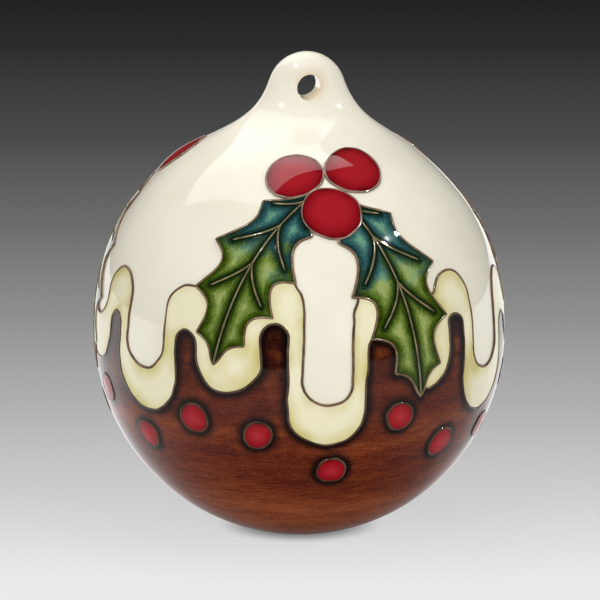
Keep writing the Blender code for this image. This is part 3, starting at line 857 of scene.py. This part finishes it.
mixed = add(tree, "Mix", {0: blend.outputs[0], 6: teal.outputs[0], 7: green.outputs[0]}, data_type="RGBA")
rib = add(tree, "Attribute", attribute_name="rib")
ragged = add(tree, "Math", {0: cloud.outputs["Fac"], 1: -1.2, 2: rib.outputs["Fac"]}, operation="MULTIPLY_ADD")
inky = add(tree, "MapRange", {0: ragged.outputs[0], 1: -0.3, 2: 0.9, 3: 0.85, 4: 0.0}, interpolation_type="SMOOTHSTEP")
mixed = add(tree, "Mix", {0: inky.outputs[0], 6: mixed.outputs[2], 7: srgb("#071b09")}, data_type="RGBA")
tree.links.new(mixed.outputs[2], shader.inputs["Base Color"])
holly.data.materials.append(leaf_material)
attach(holly, "root")

# ---- The berries and the currants ------------------------------------------------------------------
# Nine berries at the sprigs and nineteen currants in the pudding: each is a ring of slip that is filled
# with a drop of red glaze. A drop is turned flat once, and its copies are laid on the ball.
BERRY_DOME = 0.00042
CURRANT_DOME = 0.00020
DOT_LIFT = 0.00024
DROP_BACK = 0.00025  # the drop's underside, sunk in the ball


def glaze_drop(name, radius, dome):
    """A drop of glaze, flat on XY: a low dome that climbs its ring a little at the edge."""
    outline = []
    for step in range(25):
        out = radius * step / 24
        climb = MENISCUS * math.exp(-(radius - out) / MENISCUS_REACH)
        outline.append((out, DOT_LIFT + dome * (1 - (out / radius) ** 2) + climb))
    return turned(name, outline + [(radius, -DROP_BACK), (radius / 2, -DROP_BACK), (0, -DROP_BACK)], 56)


def laid_copies(drop, spots, name):
    """Copies of a drop, each laid on the ball at its spot, as one piece."""
    copies = []
    for spot in spots:
        copy = bpy.data.objects.new(name, drop.data.copy())
        bpy.context.scene.collection.objects.link(copy)
        for vertex in copy.data.vertices:
            right, up, lift = vertex.co
            vertex.co = lifted(hand_drawn([spot_beside(spot, right, up)])[0], lift)
        edge = copy.data.attributes.new("pool", "FLOAT", "POINT")
        reach = max(vertex.co.x for vertex in drop.data.vertices)
        edge.data.foreach_set("value", [(reach - vertex.co.xy.length) * 1000 for vertex in drop.data.vertices])
        copies.append(copy)
    bpy.data.objects.remove(drop)
    made = joined(name, copies)
    smooth(made)
    return made


berry_spots = [spot_beside(sprig, right, up) for sprig in sprigs for right, up in BERRY_SPOTS]
berries = laid_copies(glaze_drop("berry", BERRY_RADIUS, BERRY_DOME), berry_spots, "holly_berries")
reds = laid_copies(glaze_drop("currant", CURRANT_RADIUS - RING_LINE / 3, CURRANT_DOME), currants, "currants")

# Selenium red glaze: a clear crimson that clouds a little inside the drop and goes to dark wine along
# its ring. The currants are a flatter scarlet.
for thing, name, deep_red, red, bright in (
    (berries, "crimson_glaze", "#480409", "#860d18", "#a01a23"),
    (reds, "scarlet_glaze", "#72080f", "#96121c", "#aa2832"),
):
    made, tree, shader, place = under_clear_glaze(name)
    pool = add(tree, "Attribute", attribute_name="pool")
    cloud = add(tree, "TexNoise", {"Vector": place, "Scale": 420, "Detail": 3})
    depth = add(tree, "Math", {0: cloud.outputs["Fac"], 1: 1.6, 2: pool.outputs["Fac"]}, operation="MULTIPLY_ADD")
    thin = add(tree, "MapRange", {0: depth.outputs[0], 1: 0.6, 2: 3.4, 3: 0.0, 4: 1.0})
    tone = add(
        tree, "ValToRGB", {0: thin.outputs[0]},
        stops=((0.0, srgb(deep_red)), (1.0, srgb(bright)), (0.35, srgb(red))),
    )
    tree.links.new(tone.outputs[0], shader.inputs["Base Color"])
    thing.data.materials.append(made)
    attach(thing, "root")

# ---- The studio ------------------------------------------------------------------------------------
# A sheet of pale paper on a table, which glows as well as being lit. Painted shade makes it darker away to
# the back, and a painted contact shadow darkens it round the foot. What the glaze mirrors of it is a second,
# glowing sheet, which the camera doesn't see: it ends 23 cm before the ball, where the dark room begins, is
# painted bright behind the ball, and has the ball's shadow painted dark on it. The light is a soft box
# overhead, a broad fill from the front, two small lamps that put the sparkles on the glaze, and one behind,
# through the hole.
PAPER_FRONT, PAPER_BACK, PAPER_HALF_WIDTH = -0.235, 2.2, 1.5
PAPER_DIFFUSE, PAPER_GLOW = 0.10, 0.90
MIRRORED_BRIGHTEST = 1.2  # of the mirrored sheet, well behind the ball
SHADE_AT = 0.032  # the ball's shade in it is centred this far to the front
CAMERA_DISTANCE = 0.90
CAMERA_AZIMUTH, CAMERA_ELEVATION = math.radians(-8), math.radians(10.5)
FRAME_HALF = 0.06204  # half of what the frame takes in at the ball
AIM_ABOVE, AIM_RIGHT = 0.0061, 0.0001  # the ball's centre lies a little below the frame's middle

bpy.ops.object.select_all(action="DESELECT")
bpy.ops.mesh.primitive_plane_add(size=2)
paper = bpy.context.active_object
paper.name = "paper"
bpy.ops.object.mode_set(mode="EDIT")
bpy.ops.mesh.select_all(action="SELECT")
bpy.ops.transform.resize(value=(PAPER_HALF_WIDTH, (PAPER_BACK - PAPER_FRONT) / 2, 1))
bpy.ops.transform.translate(value=(0, (PAPER_BACK + PAPER_FRONT) / 2, 0))
bpy.ops.object.mode_set(mode="OBJECT")
made = bpy.data.materials.new("shaded_paper")
made.use_nodes = True
tree = made.node_tree
shader = tree.nodes["Principled BSDF"]
shader.inputs["Roughness"].default_value = 0.9
shader.inputs["Specular IOR Level"].default_value = 0
# Painted shade: the paper's colour and its glow grow darker away from the camera, towards the back.
spot = add(tree, "TexCoord").outputs["Object"]
away = add(tree, "VectorMath", {0: spot, 1: direction(math.pi + CAMERA_AZIMUTH, 0)}, operation="DOT_PRODUCT")
share = add(tree, "MapRange", {0: away.outputs["Value"], 1: -0.05, 2: 0.95, 3: 0.0, 4: 1.0})
shade = add(
    tree, "ValToRGB", {0: share.outputs[0]},
    stops=(
        (0.0, srgb("#ececec")), (1.0, srgb("#222222")), (0.079, srgb("#d0d0d0")), (0.171, srgb("#b1b1b1")),
        (0.284, srgb("#909090")), (0.424, srgb("#6e6e6e")), (0.603, srgb("#4c4c4c")), (0.841, srgb("#2f2f2f")),
    ),
)
# A painted contact shadow: the paper's colour and glow darken to a quarter round the foot.
level = add(tree, "VectorMath", {0: spot}, operation="LENGTH")
painted_contact_shadow = add(
    tree, "MapRange", {0: level.outputs["Value"], 1: FOOT_RADIUS - 0.001, 2: FOOT_RADIUS + 0.009, 3: 0.25, 4: 1.0},
    interpolation_type="SMOOTHSTEP",
)
shade = add(tree, "VectorMath", {0: shade.outputs[0], 3: painted_contact_shadow.outputs[0]}, operation="SCALE")
dimmed = add(tree, "VectorMath", {0: shade.outputs[0], 3: PAPER_DIFFUSE}, operation="SCALE")
tree.links.new(dimmed.outputs[0], shader.inputs["Base Color"])
# The paper glows with its painted shade, as well as being lit by the lamps.
tree.links.new(shade.outputs[0], shader.inputs["Emission Color"])
shader.inputs["Emission Strength"].default_value = PAPER_GLOW
paper.data.materials.append(made)
paper.visible_glossy = False


def grey(level):
    """A neutral radiance as RGBA."""
    return (level, level, level, 1)


bpy.ops.object.select_all(action="DESELECT")
bpy.ops.mesh.primitive_plane_add(size=2)
mirrored = bpy.context.active_object
mirrored.name = "mirrored_paper"
bpy.ops.object.mode_set(mode="EDIT")
bpy.ops.mesh.select_all(action="SELECT")
bpy.ops.transform.resize(value=(PAPER_HALF_WIDTH, (PAPER_BACK - PAPER_FRONT) / 2, 1))
bpy.ops.transform.translate(value=(0, (PAPER_BACK + PAPER_FRONT) / 2, -0.0002))
bpy.ops.object.mode_set(mode="OBJECT")
# This sheet glows though it is no lamp: a painted reflection of the lit table, for the glaze to mirror.
made = bpy.data.materials.new("mirrored_paper")
made.use_nodes = True
tree = made.node_tree
shader = tree.nodes["Principled BSDF"]
shader.inputs["Base Color"].default_value = grey(0)
shader.inputs["Specular IOR Level"].default_value = 0
spot = add(tree, "TexCoord").outputs["Object"]
place = add(tree, "SeparateXYZ", {0: spot})
share = add(tree, "MapRange", {0: place.outputs[1], 1: -0.05, 2: 0.07, 3: 0.0, 4: 1.0})
bright = add(
    tree, "ValToRGB", {0: share.outputs[0]},
    stops=(
        (0.0, grey(0.225)), (1.0, grey(1.0)), (0.25, grey(0.275)), (0.417, grey(0.417)), (0.583, grey(0.625)),
        (0.75, grey(0.833)),
    ),
)
# The ball's shadow on the table, painted dark into the glow round a spot in front of the foot.
beside = add(tree, "VectorMath", {0: spot, 1: (0, SHADE_AT, 0)}, operation="ADD")
away = add(tree, "VectorMath", {0: beside.outputs[0]}, operation="LENGTH")
share = add(tree, "MapRange", {0: away.outputs["Value"], 1: 0.015, 2: 0.060, 3: 0.0, 4: 1.0})
shaded = add(
    tree, "ValToRGB", {0: share.outputs[0]},
    stops=(
        (0.0, grey(0.15)), (1.0, grey(1.0)), (0.156, grey(0.25)), (0.40, grey(0.45)), (0.489, grey(0.55)),
        (0.622, grey(0.65)), (0.778, grey(0.85)),
    ),
)
both = add(tree, "Mix", {0: 1.0, 6: bright.outputs[0], 7: shaded.outputs[0]}, data_type="RGBA", blend_type="MULTIPLY")
tree.links.new(both.outputs[2], shader.inputs["Emission Color"])
shader.inputs["Emission Strength"].default_value = MIRRORED_BRIGHTEST
mirrored.data.materials.append(made)
mirrored.visible_camera = mirrored.visible_diffuse = mirrored.visible_shadow = False

world = bpy.data.worlds.new("dark_room")
bpy.context.scene.world = world
world.use_nodes = True
world.node_tree.nodes["Background"].inputs["Color"].default_value = grey(0.035)


def lamp(name, place, aim, width, height, power):
    """A rectangular soft light that shines from a place towards another."""
    light = bpy.data.lights.new(name, "AREA")
    light.shape = "RECTANGLE"
    light.size, light.size_y = width, height
    light.energy = power
    made = bpy.data.objects.new(name, light)
    made.location = place
    made.rotation_euler = (Vector(aim) - Vector(place)).to_track_quat("-Z", "Y").to_euler()
    made.visible_camera = False
    bpy.context.scene.collection.objects.link(made)
    return made


CENTRE = (0, 0, CENTRE_HEIGHT)
lamp("overhead_box", (-0.12, 0.22, 0.62), (0, 0.02, 0), 0.60, 0.54, 1.75)
for name, place, power in (
    ("fill_left", (-0.55, -0.65, 0.35), 4.5), ("fill_right", (0.60, -0.55, 0.45), 4.0),
    ("fill_above", (0.08, -0.10, 0.75), 1.2),
):
    lamp(name, place, CENTRE, 0.50, 0.50, power).visible_glossy = False
for name, place in (("sparkle_right", (0.63, -0.34, 0.72)), ("sparkle_left", (-0.41, -0.55, 0.755))):
    lamp(name, place, CENTRE, 0.022, 0.022, 6.0).visible_diffuse = False
through = bpy.data.lights.new("lamp_through_the_hole", "SPOT")
through.energy, through.spot_size, through.shadow_soft_size = 60, math.radians(3), 0.03
made = bpy.data.objects.new("lamp_through_the_hole", through)
made.location = (-0.25, 0.80, 0.40)
made.rotation_euler = (Vector((LEAN, 0, CENTRE_HEIGHT + HOLE_HEIGHT)) - made.location).to_track_quat("-Z", "Y").to_euler()
made.visible_camera = made.visible_glossy = False
bpy.context.scene.collection.objects.link(made)

camera = bpy.data.objects.new("camera", bpy.data.cameras.new("camera"))
bpy.context.scene.collection.objects.link(camera)
back = Vector((
    math.sin(CAMERA_AZIMUTH) * math.cos(CAMERA_ELEVATION),
    -math.cos(CAMERA_AZIMUTH) * math.cos(CAMERA_ELEVATION),
    math.sin(CAMERA_ELEVATION),
))
turn = (-back).to_track_quat("-Z", "Y")
aim = Vector(CENTRE) + turn @ Vector((AIM_RIGHT, AIM_ABOVE, 0))
camera.location = aim + back * CAMERA_DISTANCE
camera.rotation_euler = turn.to_euler()
camera.data.lens = camera.data.sensor_width / 2 * CAMERA_DISTANCE / FRAME_HALF
camera.data.clip_start, camera.data.clip_end = 0.05, 10
bpy.context.scene.camera = camera
bpy.context.scene.view_settings.view_transform = "Standard"

bpy.context.view_layer.update()
